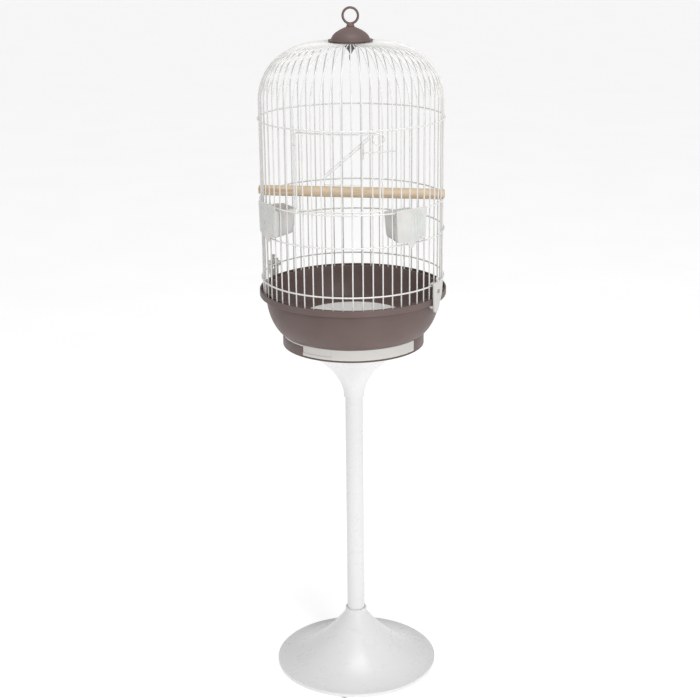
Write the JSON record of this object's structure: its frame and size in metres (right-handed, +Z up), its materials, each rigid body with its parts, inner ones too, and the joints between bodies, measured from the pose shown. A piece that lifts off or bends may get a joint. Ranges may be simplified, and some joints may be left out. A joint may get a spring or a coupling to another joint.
{
  "type": "bird cage on stand",
  "caption": "Round domed wire bird cage with a front door, feeder cups, a wooden perch and a tray with a pull-out drawer, on a tall pedestal with a round trumpet base.",
  "frame": {"origin": "on the floor, under the middle of the stand", "axes": "+Z up along the stand; the cage door faces -Y; +X is to the right of someone facing the door"},
  "size_m": [0.3328, 0.3326, 1.2364],
  "materials": {
    "white_wire": "white powder coat, satin",
    "taupe_plastic": "moulded, satin, brown-grey",
    "white_plastic": "moulded, satin",
    "stand_plastic": "white, smooth, half gloss",
    "cup_plastic": "milky white, smooth",
    "black_plastic": "moulded, satin",
    "perch_wood": "plain turned softwood",
    "hook_steel": "zinc plated wire",
    "ballast": "raw, hidden inside the base",
    "foot_rubber": "matt"
  },
  "bodies": {
    "stand": {"stand_flare": "stand_plastic", "stand_tube": "stand_plastic", "base_cover": "stand_plastic", "base_ballast": "ballast", "foot_1": "foot_rubber", "foot_2": "foot_rubber", "foot_3": "foot_rubber", "foot_4": "foot_rubber", "foot_5": "foot_rubber"},
    "cage": {"tray": "taupe_plastic", "sill_front": "white_wire", "dome_front": "white_wire", "wall_right_front": "white_wire", "dome_right_front": "white_wire", "sill_right_cup": "white_wire", "wall_right_cup": "white_wire", "dome_right_cup": "white_wire", "wall_right": "white_wire", "dome_right": "white_wire", "wall_right_back": "white_wire", "dome_right_back": "white_wire", "wall_back_right": "white_wire", "dome_back_right": "white_wire", "wall_back": "white_wire", "dome_back": "white_wire", "wall_back_left": "white_wire", "dome_back_left": "white_wire", "wall_left_back": "white_wire", "dome_left_back": "white_wire", "wall_left": "white_wire", "dome_left": "white_wire", "sill_left_cup": "white_wire", "wall_left_cup": "white_wire", "dome_left_cup": "white_wire", "wall_left_front": "white_wire", "dome_left_front": "white_wire", "crown_1": "white_wire", "crown_2": "white_wire", "crown_3": "white_wire", "crown_4": "white_wire", "crown_5": "white_wire", "crown_6": "white_wire", "perch": "perch_wood", "hub_plate": "white_wire", "dome_cap": "taupe_plastic"},
    "door": {"front_door": "white_wire", "door_brace": "white_wire", "door_loop": "white_wire"},
    "latch": {"door_latch": "white_plastic"},
    "cup_right": {"feeder_cup_right": "cup_plastic"},
    "cup_left": {"feeder_cup_left": "cup_plastic"},
    "ring": {"hanging_ring": "taupe_plastic", "cap_cone": "black_plastic", "swing_hook": "hook_steel"},
    "grid": {"floor_grid": "white_plastic"},
    "drawer": {"drawer": "white_plastic"},
    "clip_right": {"clip_right": "white_plastic"},
    "clip_left": {"clip_left": "white_plastic"}
  },
  "joints": [
    {"name": "cage_lift", "type": "slide", "parent": "stand", "child": "cage", "axis": [0, 0, 1], "range_m": [0, 0.2]},
    {"name": "door_hinge", "type": "hinge", "parent": "cage", "child": "door", "pos_m": [-0.07448, -0.14048, 0.98], "axis": [0, 0, -1], "range_deg": [0, 110]},
    {"name": "latch_turn", "type": "hinge", "parent": "door", "child": "latch", "pos_m": [0.04254, -0.1532, 1.016], "axis": [0, 0, -1], "range_deg": [0, 95]},
    {"name": "cup_right_slide", "type": "slide", "parent": "cage", "child": "cup_right", "axis": [0.726, -0.6877, 0], "range_m": [0, 0.06]},
    {"name": "cup_left_slide", "type": "slide", "parent": "cage", "child": "cup_left", "axis": [-0.7961, -0.6052, 0], "range_m": [0, 0.06]},
    {"name": "ring_swivel", "type": "hinge", "parent": "cage", "child": "ring", "pos_m": [0, 0, 1.19], "axis": [0, 0, 1], "continuous": true},
    {"name": "grid_lift", "type": "slide", "parent": "cage", "child": "grid", "axis": [0, 0, 1], "range_m": [0, 0.03]},
    {"name": "drawer_slide", "type": "slide", "parent": "cage", "child": "drawer", "axis": [0.2675, -0.9635, 0], "range_m": [0, 0.16]},
    {"name": "clip_right_hinge", "type": "hinge", "parent": "cage", "child": "clip_right", "pos_m": [0.14994, -0.05974, 0.77], "axis": [-0.3701, -0.929, 0], "range_deg": [0, 40]},
    {"name": "clip_left_hinge", "type": "hinge", "parent": "cage", "child": "clip_left", "pos_m": [-0.14994, 0.05974, 0.77], "axis": [0.3701, 0.929, 0], "range_deg": [0, 40]}
  ]
}
